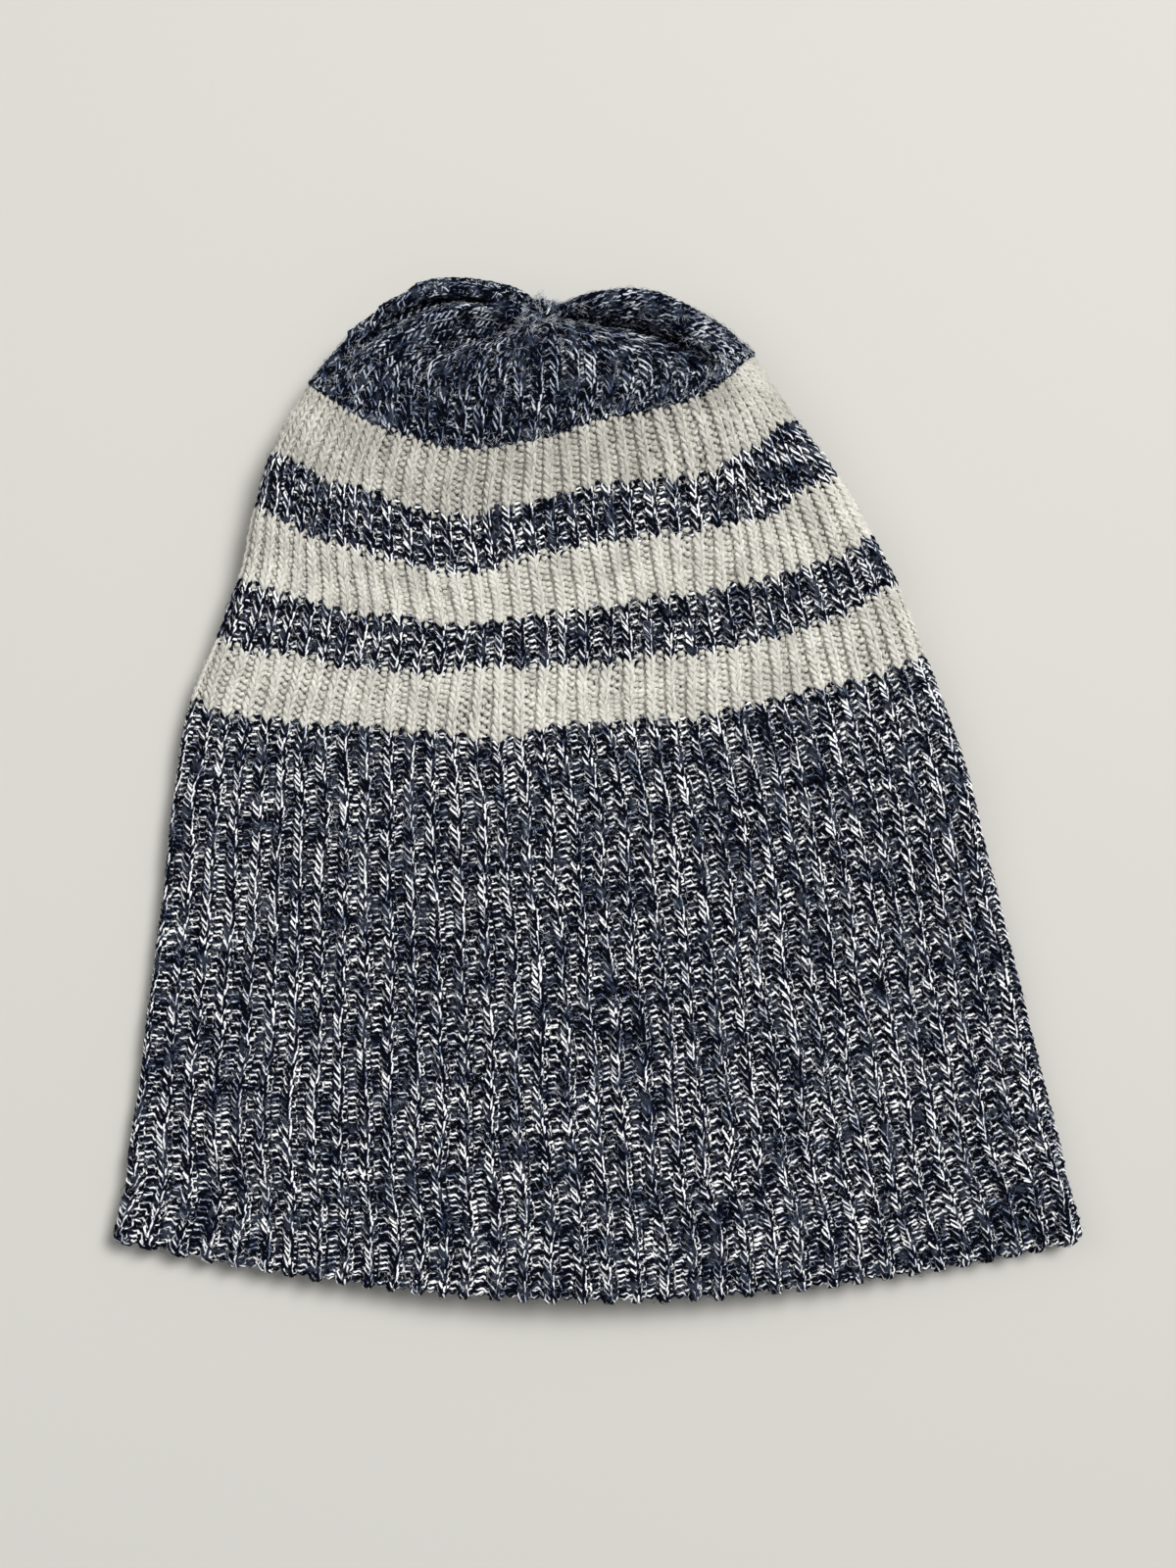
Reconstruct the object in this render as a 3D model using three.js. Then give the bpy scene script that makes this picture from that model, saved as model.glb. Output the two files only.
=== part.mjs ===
// A slouchy knitted beanie lying flat, crown towards +Y, mouth towards -Y, on the plane z = 0.
// Millimetres. The hat is one tube of 1x1 rib, knitted in seven yarn sections, closed by four
// crown gores. Every section is a closed sleeve: an outer skin, an inner skin and two rims.
import * as THREE from 'three';

// ---- driving dimensions -------------------------------------------------------------------
const FABRIC = 2.4;          // thickness of one rib layer
const HEM_PLY = 2.0;         // thickness of each ply of the turned hem
const HEM_SLIT = 0.3;        // air between the two plies of the turned hem
const GAP = 0.3;             // gap kept between touching pieces

// Rows (courses of knitting) at which the yarn changes, counted from the hem fold.
const ROW = {
  hem: 0,
  hemLine: 12,
  stripeLowStart: 92,
  stripeLowEnd: 102,
  stripeMidStart: 110,
  stripeMidEnd: 120,
  stripeTopStart: 128,
  crown: 138,
};

// Cross-sections of the flattened tube. left and right are the side folds (x, y); sag is how far
// the front and back dip below the line between them; power shapes the dip; fold is the radius
// of the side folds; height is the full height at the middle; seams are where the front gore
// starts and ends, as fractions of the half width.
const STATIONS = [
  { row: 0, left: [-124.6, -115.6], right: [124.6, -115.6], sag: [14.8, 11], power: 2.0,
    fold: 4.9, height: 18, seams: [-0.51, 0.51] },
  { row: 12, left: [-121.8, -98], right: [119.8, -98], sag: [14.4, 11], power: 2.0,
    fold: 4.8, height: 18, seams: [-0.51, 0.51] },
  { row: 28, left: [-118.4, -73], right: [114.6, -73], sag: [14, 10], power: 2.0,
    fold: 4.6, height: 17.5, seams: [-0.51, 0.51] },
  { row: 44, left: [-115.4, -48], right: [108.4, -48], sag: [13.6, 9], power: 2.0,
    fold: 4.8, height: 17, seams: [-0.51, 0.51] },
  { row: 60, left: [-112.0, -23], right: [101.4, -20], sag: [13.2, 9], power: 2.1,
    fold: 5.2, height: 17, seams: [-0.52, 0.52] },
  { row: 76, left: [-109.3, 1], right: [94.0, 9], sag: [13, 9], power: 2.2,
    fold: 5.8, height: 17.5, seams: [-0.52, 0.52] },
  { row: 92, left: [-105.0, 24.1], right: [84.0, 35.6], sag: [13.4, 9], power: 2.4,
    fold: 6.6, height: 18.5, seams: [-0.53, 0.53] },
  { row: 102, left: [-98.0, 40.1], right: [77.1, 53], sag: [14.4, 9], power: 2.8,
    fold: 7.6, height: 19, seams: [-0.54, 0.55] },
  { row: 110, left: [-92.4, 55.6], right: [69.4, 67.6], sag: [16, 9], power: 3.0,
    fold: 8.6, height: 19.5, seams: [-0.56, 0.58] },
  { row: 120, left: [-88.4, 72.6], right: [60.6, 82.4], sag: [18, 9], power: 3.0,
    fold: 9.6, height: 20, seams: [-0.60, 0.64] },
  { row: 128, left: [-83.6, 88.4], right: [50.4, 95.9], sag: [19.2, 9], power: 3.0,
    fold: 10.4, height: 20.5, seams: [-0.64, 0.72] },
  { row: 138, left: [-74.1, 104.4], right: [39.6, 111.8], sag: [18.7, 8], power: 3.0,
    fold: 11, height: 21, seams: [-0.66, 0.76] },
];

// Samples along each part of a cross-section.
const PANEL_STEPS = 12;      // front or back panel, seam to seam
const FLANK_STEPS = 3;       // from a seam to the start of the side fold
const FOLD_STEPS = 8;        // around a side fold

// Crown: the point where the four gores are drawn together, and the lines that lead to it.
// Each line starts at the top of the upper grey stripe and stops at the closure.
const CLOSURE = [-14.6, 119.9, 16];
const CROWN_LINES = {
  frontLeft: [[-49, 112.5, 18.6], [-34, 116, 18.2], [-22, 118, 17.4]],
  frontRight: [[23, 113.5, 18.4], [12, 117, 18.2], [-3, 119.6, 17.4]],
  backLeft: [[-48, 115, 1.5], [-36, 122, 5.5], [-22, 124.4, 13]],
  backRight: [[17, 118, 1.5], [6, 123.4, 5.5], [-8, 124, 13]],
  front: [[-15.6, 99, 21.6], [-14.8, 109, 21.6], [-14.6, 117.6, 19]],
  right: [[29, 121, 12.6], [13, 128.6, 14.4], [-3.5, 128.2, 17.6]],
  back: [[-15.6, 114, 0.4], [-14.8, 124, 3.2], [-14.6, 127, 11.5]],
  left: [[-62.5, 118, 12.6], [-43.5, 129.6, 14.4], [-24.5, 128.6, 17.6]],
};
const CROWN_STEPS = 8;
const CROWN_END = 0.9;       // the gores stop here, short of the closure
const SEAM_RADIUS = 0.55;    // linking thread of the crown seams
const SEAM_ROOM = 1.3;       // how far each gore edge stays back from the middle of its seam
const SEAM_DEPTH = 0.9;      // the seam thread lies this far below the outer skin

// ---- colours ------------------------------------------------------------------------------
const MARL = { color: 0x2b3446, roughness: 0.95, metalness: 0 };
const GREY = { color: 0xc4bfb8, roughness: 0.95, metalness: 0 };
const NAVY_THREAD = { color: 0x171f33, roughness: 0.85, metalness: 0 };
const LABEL_WHITE = { color: 0xe9e7e2, roughness: 0.7, metalness: 0 };

// ---- interpolation ------------------------------------------------------------------------
function slopeAt(xs, ys, i) {
  const a = Math.max(i - 1, 0);
  const b = Math.min(i + 1, xs.length - 1);
  return (ys[b] - ys[a]) / (xs[b] - xs[a]);
}

// A smooth curve through the points (xs, ys).
function smoothThrough(xs, ys, x) {
  let i = 0;
  while (i < xs.length - 2 && x > xs[i + 1]) i += 1;
  const step = xs[i + 1] - xs[i];
  const t = (x - xs[i]) / step;
  const t2 = t * t;
  const t3 = t2 * t;
  const start = (2 * t3 - 3 * t2 + 1) * ys[i] + (t3 - 2 * t2 + t) * step * slopeAt(xs, ys, i);
  const end = (3 * t2 - 2 * t3) * ys[i + 1] + (t3 - t2) * step * slopeAt(xs, ys, i + 1);
  return start + end;
}

const STATION_ROWS = STATIONS.map((station) => station.row);

function atRow(row, pick) {
  return smoothThrough(STATION_ROWS, STATIONS.map(pick), row);
}

function sectionAt(row) {
  return {
    xLeft: atRow(row, (s) => s.left[0]),
    yLeft: atRow(row, (s) => s.left[1]),
    xRight: atRow(row, (s) => s.right[0]),
    yRight: atRow(row, (s) => s.right[1]),
    sagFront: atRow(row, (s) => s.sag[0]),
    sagBack: atRow(row, (s) => s.sag[1]),
    power: atRow(row, (s) => s.power),
    fold: atRow(row, (s) => s.fold),
    height: atRow(row, (s) => s.height),
    seamLeft: atRow(row, (s) => s.seams[0]),
    seamRight: atRow(row, (s) => s.seams[1]),
  };
}

// ---- the flattened tube -------------------------------------------------------------------
// A point on the skin that lies `depth` inside the outer skin. x is measured from the middle of
// the section, and lift runs from 0 at the back to 1 at the front.
function skinPoint(section, x, z, lift) {
  const half = (section.xRight - section.xLeft) / 2;
  const middle = (section.xRight + section.xLeft) / 2;
  const u = Math.max(-1, Math.min(1, x / half));
  const chord = (section.yLeft + section.yRight) / 2 + u * (section.yRight - section.yLeft) / 2;
  const sag = section.sagBack + (section.sagFront - section.sagBack) * lift;
  const y = chord - sag * (1 - Math.abs(u) ** section.power);
  return new THREE.Vector3(middle + x, y, z);
}

function frontHeight(section, x, depth) {
  const flat = (section.xRight - section.xLeft) / 2 - section.fold;
  const wave = Math.cos(Math.PI * Math.min(1, Math.abs(x) / flat) / 2) ** 2;
  return 2 * section.fold + (section.height - 2 * section.fold) * wave - depth;
}

function spread(from, to, steps) {
  return Array.from({ length: steps }, (_, i) => from + (to - from) * i / steps);
}

// One loop around the tube: front panel, right side, back panel, left side.
function loopAt(row, depth) {
  const section = sectionAt(row);
  const half = (section.xRight - section.xLeft) / 2;
  const flat = half - section.fold;
  const radius = section.fold - depth;
  const seamLeft = section.seamLeft * half;
  const seamRight = section.seamRight * half;
  const front = (x) => skinPoint(section, x, frontHeight(section, x, depth), 1);
  const back = (x) => skinPoint(section, x, depth, 0);
  const around = (side, angle) => {
    const x = side * (flat + radius * Math.sin(angle));
    const z = section.fold + radius * Math.cos(angle);
    return skinPoint(section, x, z, (1 + Math.cos(angle)) / 2);
  };
  return [
    ...spread(seamLeft, seamRight, PANEL_STEPS).map(front),
    ...spread(seamRight, flat, FLANK_STEPS).map(front),
    ...spread(0, Math.PI, FOLD_STEPS).map((angle) => around(1, angle)),
    ...spread(flat, seamRight, FLANK_STEPS).map(back),
    ...spread(seamRight, seamLeft, PANEL_STEPS).map(back),
    ...spread(seamLeft, -flat, FLANK_STEPS).map(back),
    ...spread(Math.PI, 0, FOLD_STEPS).map((angle) => around(-1, angle)),
    ...spread(-flat, seamLeft, FLANK_STEPS).map(front),
  ];
}

// ---- closed skins -------------------------------------------------------------------------
function meshFrom(name, look, points, faces) {
  const geometry = new THREE.BufferGeometry();
  const flatPoints = points.flatMap((p) => [p.x, p.y, p.z]);
  geometry.setAttribute('position', new THREE.Float32BufferAttribute(flatPoints, 3));
  geometry.setIndex(faces.flat());
  geometry.computeVertexNormals();
  const mesh = new THREE.Mesh(geometry, new THREE.MeshStandardMaterial(look));
  mesh.name = name;
  return mesh;
}

// Joins closed loops of equal length into a ring: the last loop joins the first again.
function ringFrom(name, look, loops) {
  const count = loops[0].length;
  const faces = [];
  loops.forEach((_, j) => {
    const below = j * count;
    const above = ((j + 1) % loops.length) * count;
    for (let i = 0; i < count; i += 1) {
      const next = (i + 1) % count;
      faces.push([below + i, below + next, above + next]);
      faces.push([below + i, above + next, above + i]);
    }
  });
  return meshFrom(name, look, loops.flat(), faces);
}

function rowsBetween(from, to, steps) {
  return Array.from({ length: steps + 1 }, (_, i) => from + (to - from) * i / steps);
}

const ROW_HEIGHT = 1.6;      // about one course, used to turn gaps in millimetres into rows
const HALF_GAP_ROWS = GAP / 2 / ROW_HEIGHT;

// A sleeve of rib between two rows.
function sleeve(name, look, fromRow, toRow, steps) {
  const rows = rowsBetween(fromRow + HALF_GAP_ROWS, toRow - HALF_GAP_ROWS, steps);
  const outer = rows.map((row) => loopAt(row, 0));
  const inner = rows.map((row) => loopAt(row, FABRIC)).reverse();
  return ringFrom(name, look, [...outer, ...inner]);
}

// The hem is turned up inside: outer ply, fold, and an inner ply that stops short of the seam.
function hemBand() {
  const slitOut = HEM_PLY;
  const slitIn = HEM_PLY + HEM_SLIT;
  const innerFace = 2 * HEM_PLY + HEM_SLIT;
  const profile = [
    [0.15, 1.1], [0, 0.5 * innerFace], [0.15, innerFace - 1.1], [0.8, innerFace],
    [10.9, innerFace], [10.9, slitIn],
    [1.3, slitIn], [1.3, slitOut],
    [ROW.hemLine - HALF_GAP_ROWS, slitOut], [ROW.hemLine - HALF_GAP_ROWS, 0],
    [6, 0], [0.8, 0],
  ];
  const loops = profile.map(([row, depth]) => loopAt(row, depth)).reverse();
  return ringFrom('hem_band', MARL, loops);
}

// The chain of thread that sews the turned edge of the hem to the inside of the body.
function hemStitch() {
  const centreDepth = HEM_PLY + 1.2;
  const radius = 0.45;
  const rowRadius = radius / ROW_HEIGHT;
  const loops = [0, 1, 2, 3, 4, 5].map((i) => {
    const angle = i * Math.PI / 3;
    return loopAt(11.5 + rowRadius * Math.cos(angle), centreDepth + radius * Math.sin(angle));
  });
  return ringFrom('hem_stitch_thread', NAVY_THREAD, loops);
}

// ---- crown --------------------------------------------------------------------------------
function vector([x, y, z]) {
  return new THREE.Vector3(x, y, z);
}

const CROWN_BASE_ROW = ROW.crown + HALF_GAP_ROWS;
const CROWN_LOOP = loopAt(CROWN_BASE_ROW, 0);
const CROWN_INNER_LOOP = loopAt(CROWN_BASE_ROW, FABRIC);
const SIDE_STEPS = 2 * FLANK_STEPS + FOLD_STEPS;

// Where each crown line leaves the loop.
const LINE_INDEX = {
  frontLeft: 0,
  front: PANEL_STEPS / 2,
  frontRight: PANEL_STEPS,
  right: PANEL_STEPS + SIDE_STEPS / 2,
  backRight: PANEL_STEPS + SIDE_STEPS,
  back: PANEL_STEPS + SIDE_STEPS + PANEL_STEPS / 2,
  backLeft: 2 * PANEL_STEPS + SIDE_STEPS,
  left: 2 * PANEL_STEPS + SIDE_STEPS + SIDE_STEPS / 2,
};

function crownLine(name) {
  const start = CROWN_LOOP[LINE_INDEX[name]];
  const points = [start, ...CROWN_LINES[name].map(vector), vector(CLOSURE)];
  return new THREE.CatmullRomCurve3(points, false, 'centripetal');
}

const LINES = Object.fromEntries(Object.keys(LINE_INDEX).map((name) => [name, crownLine(name)]));

// The stretch of a base loop that a gore grows from.
function baseCurve(loop, startIndex, steps) {
  const points = Array.from({ length: steps + 1 }, (_, i) => loop[(startIndex + i) % loop.length]);
  return new THREE.CatmullRomCurve3(points, false, 'centripetal');
}

// The point at u on a base curve, where u runs evenly from -1 to 1.
function onBase(base, u) {
  return base.getPointAt((u + 1) / 2);
}

// A point of a gore: r runs from the base to the closure and u from -1 to 1, seam to seam.
// No point goes below the plane that the hat lies on.
function gorePoint(base, lines, u, r) {
  const t = (u + 1) / 2;
  const fade = 1 - r * r;
  const baseFlat = base.getPoint(0).lerp(base.getPoint(1), t);
  const swell = onBase(base, u).sub(baseFlat).multiplyScalar(fade);
  const seamFlat = lines.start.getPoint(r).lerp(lines.end.getPoint(r), t);
  const baseMiddle = onBase(base, 0).sub(base.getPoint(0).lerp(base.getPoint(1), 0.5));
  const seamMiddle = lines.start.getPoint(r).lerp(lines.end.getPoint(r), 0.5);
  const bulge = lines.middle.getPoint(r).sub(seamMiddle).addScaledVector(baseMiddle, -fade);
  const point = seamFlat.add(swell).add(bulge.multiplyScalar(1 - u * u));
  point.z = Math.max(point.z, 0);
  return point;
}

function goreNormal(base, lines, u, r) {
  const e = 0.02;
  const across = gorePoint(base, lines, Math.min(1, u + e), r);
  across.sub(gorePoint(base, lines, Math.max(-1, u - e), r));
  const along = gorePoint(base, lines, u, Math.min(1, r + e));
  along.sub(gorePoint(base, lines, u, Math.max(0, r - e)));
  return across.cross(along).normalize();
}

// The four gores, in order around the crown: each runs from one seam line to the next.
const GORES = [
  { name: 'crown_gore_front', start: 'frontLeft', middle: 'front', end: 'frontRight', steps: PANEL_STEPS },
  { name: 'crown_gore_right', start: 'frontRight', middle: 'right', end: 'backRight', steps: SIDE_STEPS },
  { name: 'crown_gore_back', start: 'backRight', middle: 'back', end: 'backLeft', steps: PANEL_STEPS },
  { name: 'crown_gore_left', start: 'backLeft', middle: 'left', end: 'frontLeft', steps: SIDE_STEPS },
].map((plan) => ({
  ...plan,
  base: baseCurve(CROWN_LOOP, LINE_INDEX[plan.start], plan.steps),
  innerBase: baseCurve(CROWN_INNER_LOOP, LINE_INDEX[plan.start], plan.steps),
  lines: { start: LINES[plan.start], middle: LINES[plan.middle], end: LINES[plan.end] },
}));

// The direction that both gores beside a seam share as their outward normal on that seam.
function seamNormal(lineName, r) {
  const before = GORES.find((plan) => plan.end === lineName);
  const after = GORES.find((plan) => plan.start === lineName);
  const normal = goreNormal(before.base, before.lines, 1, r);
  return normal.add(goreNormal(after.base, after.lines, -1, r)).normalize();
}

// A crown gore: a curved three-cornered panel with its edges held back from the seams. Towards a
// seam its thickness turns to the seam's own direction, so that neighbours meet in a mitre.
function gore(plan) {
  const outer = [];
  const inner = [];
  for (let j = 0; j <= CROWN_STEPS; j += 1) {
    const r = CROWN_END * j / CROWN_STEPS;
    const width = plan.lines.start.getPoint(r).distanceTo(plan.lines.end.getPoint(r));
    const edge = 1 - Math.min(0.6, 2 * SEAM_ROOM / width);
    for (let i = 0; i <= plan.steps; i += 1) {
      const u = edge * (2 * i / plan.steps - 1);
      const point = gorePoint(plan.base, plan.lines, u, r);
      outer.push(point);
      inner.push(j === 0 ? onBase(plan.innerBase, u) : innerGorePoint(plan, point, u, r));
    }
  }
  return meshFrom(plan.name, MARL, [...outer, ...inner], sheetFaces(plan.steps, CROWN_STEPS));
}

function innerGorePoint(plan, point, u, r) {
  const seam = seamNormal(u < 0 ? plan.start : plan.end, r);
  const normal = goreNormal(plan.base, plan.lines, u, r).lerp(seam, Math.abs(u) ** 3).normalize();
  return point.clone().addScaledVector(normal, -FABRIC);
}

// Faces of a closed sheet: two grids of points, and the rim that joins them.
function sheetFaces(columns, rows) {
  const line = columns + 1;
  const under = line * (rows + 1);
  const faces = [];
  for (let j = 0; j < rows; j += 1) {
    for (let i = 0; i < columns; i += 1) {
      const a = j * line + i;
      const b = a + 1;
      const c = b + line;
      const d = a + line;
      faces.push([a, b, c], [a, c, d]);
      faces.push([under + a, under + c, under + b], [under + a, under + d, under + c]);
    }
  }
  const rim = [];
  for (let i = 0; i < columns; i += 1) rim.push(i);
  for (let j = 0; j < rows; j += 1) rim.push(j * line + columns);
  for (let i = columns; i > 0; i -= 1) rim.push(rows * line + i);
  for (let j = rows; j > 0; j -= 1) rim.push(j * line);
  rim.forEach((a, i) => {
    const b = rim[(i + 1) % rim.length];
    faces.push([b, a, under + a], [b, under + a, under + b]);
  });
  return faces;
}

function circleShape(radius, sides) {
  const points = Array.from({ length: sides }, (_, i) => {
    const angle = 2 * Math.PI * i / sides;
    return new THREE.Vector2(radius * Math.cos(angle), radius * Math.sin(angle));
  });
  return new THREE.Shape(points);
}

function thread(name, look, path, radius, steps) {
  const options = { steps, extrudePath: path, bevelEnabled: false, curveSegments: 1 };
  const geometry = new THREE.ExtrudeGeometry(circleShape(radius, 6), options);
  const mesh = new THREE.Mesh(geometry, new THREE.MeshStandardMaterial(look));
  mesh.name = name;
  return mesh;
}

// A crown seam: the linking thread that joins two gores, a little below the skin.
function crownSeam(name, lineName) {
  const points = [];
  for (let j = 0; j <= 6; j += 1) {
    const r = 0.03 + (CROWN_END - 0.03) * j / 6;
    points.push(LINES[lineName].getPoint(r).addScaledVector(seamNormal(lineName, r), -SEAM_DEPTH));
  }
  const path = new THREE.CatmullRomCurve3(points, false, 'centripetal');
  return thread(name, NAVY_THREAD, path, SEAM_RADIUS, 14);
}

// The yarn end that draws the gore tips together, finished as a small round knot.
function crownClosure() {
  const geometry = new THREE.SphereGeometry(1.5, 12, 8);
  const mesh = new THREE.Mesh(geometry, new THREE.MeshStandardMaterial(NAVY_THREAD));
  mesh.position.copy(vector(CLOSURE)).add(new THREE.Vector3(0, 0, -1.2));
  mesh.name = 'crown_closure';
  return mesh;
}

// ---- inside -------------------------------------------------------------------------------
// The linking ridge of the centre back, from above the hem to the top of the stripes.
const SEAM_RIDGE = { width: 3, height: 1.2, fromRow: 13, toRow: 137 };

function backSeam() {
  const points = rowsBetween(SEAM_RIDGE.fromRow, SEAM_RIDGE.toRow, 10).map((row) => {
    const point = skinPoint(sectionAt(row), 0, FABRIC + GAP, 0);
    return point;
  });
  const loops = points.map((point) => {
    const half = SEAM_RIDGE.width / 2;
    const corner = (x, z) => point.clone().add(new THREE.Vector3(x, 0, z));
    return [
      corner(-half, 0), corner(half, 0), corner(half, 0.6 * SEAM_RIDGE.height),
      corner(0, SEAM_RIDGE.height), corner(-half, 0.6 * SEAM_RIDGE.height),
    ];
  });
  return barFrom('back_seam', MARL, loops);
}

// Joins open-ended loops into a bar with flat ends.
function barFrom(name, look, loops) {
  const count = loops[0].length;
  const faces = [];
  for (let j = 0; j < loops.length - 1; j += 1) {
    for (let i = 0; i < count; i += 1) {
      const a = j * count + i;
      const b = j * count + (i + 1) % count;
      faces.push([a, b + count, b], [a, a + count, b + count]);
    }
  }
  const last = (loops.length - 1) * count;
  for (let i = 1; i < count - 1; i += 1) {
    faces.push([0, i, i + 1], [last, last + i + 1, last + i]);
  }
  return meshFrom(name, look, loops.flat(), faces);
}

// A blank care label, sewn beside the back seam, lying on the inside of the back layer.
const LABEL = { width: 20, length: 32, thickness: 0.5, row: 16, offset: 3.2, curl: 1.2 };

function careLabel() {
  const start = skinPoint(sectionAt(LABEL.row), 0, FABRIC + GAP, 0);
  const columns = 6;
  const rows = 4;
  const grid = (lift) => {
    const points = [];
    for (let j = 0; j <= rows; j += 1) {
      for (let i = 0; i <= columns; i += 1) {
        const across = i / columns;
        const x = LABEL.offset + LABEL.width * across;
        const z = lift + LABEL.curl * across * across;
        points.push(start.clone().add(new THREE.Vector3(x, LABEL.length * j / rows, z)));
      }
    }
    return points;
  };
  const points = [...grid(LABEL.thickness), ...grid(0)];
  return meshFrom('care_label', LABEL_WHITE, points, sheetFaces(columns, rows));
}

// The row of stitches that holds the label to the seam.
function careLabelStitching() {
  const start = skinPoint(sectionAt(LABEL.row), 0, FABRIC + GAP, 0);
  const x = LABEL.offset - 0.85;
  const z = 0.4;
  const from = start.clone().add(new THREE.Vector3(x, 1, z));
  const to = start.clone().add(new THREE.Vector3(x, LABEL.length - 1, z));
  const path = new THREE.LineCurve3(from, to);
  return thread('care_label_stitching', LABEL_WHITE, path, 0.35, 2);
}

// ---- the hat ------------------------------------------------------------------------------
const beanie = new THREE.Group();
beanie.add(hemBand());
beanie.add(hemStitch());
beanie.add(sleeve('marl_body', MARL, ROW.hemLine, ROW.stripeLowStart, 7));
beanie.add(sleeve('grey_stripe_lower', GREY, ROW.stripeLowStart, ROW.stripeLowEnd, 1));
beanie.add(sleeve('marl_band_lower', MARL, ROW.stripeLowEnd, ROW.stripeMidStart, 1));
beanie.add(sleeve('grey_stripe_middle', GREY, ROW.stripeMidStart, ROW.stripeMidEnd, 1));
beanie.add(sleeve('marl_band_upper', MARL, ROW.stripeMidEnd, ROW.stripeTopStart, 1));
beanie.add(sleeve('grey_stripe_upper', GREY, ROW.stripeTopStart, ROW.crown, 2));

GORES.forEach((plan) => beanie.add(gore(plan)));

beanie.add(crownSeam('crown_seam_front_left', 'frontLeft'));
beanie.add(crownSeam('crown_seam_front_right', 'frontRight'));
beanie.add(crownSeam('crown_seam_back_left', 'backLeft'));
beanie.add(crownSeam('crown_seam_back_right', 'backRight'));
beanie.add(crownClosure());
beanie.add(backSeam());
beanie.add(careLabel());
beanie.add(careLabelStitching());

export default beanie;
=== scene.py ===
"""A knitted beanie lying flat, built stitch by stitch in 1x1 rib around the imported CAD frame.

Lengths are millimetres and become metres when a mesh is made. The fabric is described by two
coordinates: wales (columns of stitches, counted round the hat from the front left seam) and
courses (rows of stitches, counted from the hem fold).
"""
import math

import bpy
import numpy as np
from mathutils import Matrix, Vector


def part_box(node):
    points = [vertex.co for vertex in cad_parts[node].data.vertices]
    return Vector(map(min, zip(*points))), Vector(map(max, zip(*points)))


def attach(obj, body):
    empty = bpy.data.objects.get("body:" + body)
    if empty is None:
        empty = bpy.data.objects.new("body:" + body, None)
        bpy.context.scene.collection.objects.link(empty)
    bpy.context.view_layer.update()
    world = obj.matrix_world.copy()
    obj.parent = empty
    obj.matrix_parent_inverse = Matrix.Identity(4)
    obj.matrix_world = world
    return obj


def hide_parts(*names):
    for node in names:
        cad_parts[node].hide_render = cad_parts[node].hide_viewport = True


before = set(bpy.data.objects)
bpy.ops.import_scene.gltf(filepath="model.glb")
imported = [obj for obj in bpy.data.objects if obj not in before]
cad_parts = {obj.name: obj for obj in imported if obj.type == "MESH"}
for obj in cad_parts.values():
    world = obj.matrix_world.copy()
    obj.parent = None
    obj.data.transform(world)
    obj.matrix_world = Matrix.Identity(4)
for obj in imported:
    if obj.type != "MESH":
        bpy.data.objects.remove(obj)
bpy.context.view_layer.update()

MM = 0.001

# ---- knitting ----
WALES = 144  # 72 ribs, each one knit wale and one purl wale
GORE_WALES = WALES // 4
COURSE = 1.6  # height of one course
YARN = 0.55  # radius of the yarn
CROWN_YARN = 0.6  # the crown is knitted a little fuller
YARN_SPREAD = 1.08  # how much wider than high the yarn lies
CROSSING_SPREAD = 0.26  # how much wider still where it crosses from wale to wale
TWIST = 10.0  # yarn length for one turn of its plies
LOOP_HEIGHT = 0.77  # half the height of a loop, in courses
KNIT_LEAN = 0.6  # sideways swing that gives a knit loop its narrow neck
PURL_LEAN = 0.12  # the same for a purl loop
KNIT_FLATNESS = 0.08  # how square the top of a knit loop is
PURL_FLATNESS = 0.23  # the same for a purl loop
LOOP_SKEW = 0.06  # sideways slant of the loops, from the twist of the yarn
RELIEF = 0.95  # how far the knit and purl wales stand from the middle of the fabric
BODY_FULLNESS = 2.6  # the width that a knit wale comes near to in an open rib
CROWN_FULLNESS = 3.5  # the same in the crown, where the knit wales are wider
RIB_CLOSING = 1.0  # how soon a knit wale narrows as its rib closes up
KNIT_SHARES = (0.26, 0.7)  # the least and the most of a rib that its knit wale takes
MID_DEPTH = 1.66  # depth of the fabric's middle below the CAD skin

# The turned hem: the fabric runs down the front ply, round the fold and up the inner ply.
HEM_FOLD_RADIUS = 1.3
HEM_FOLD_ROW = 1.65  # where the outer ply starts to turn
HEM_FOLD_COURSES = math.pi * HEM_FOLD_RADIUS / COURSE
HEM_INNER_COURSES = 10

ROW = {"hem_edge": -HEM_INNER_COURSES, "hem": 0, "hem_line": 12, "stripe_low": 92,
       "band_low": 102, "stripe_mid": 110, "band_up": 120, "stripe_top": 128, "crown": 138}

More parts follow.
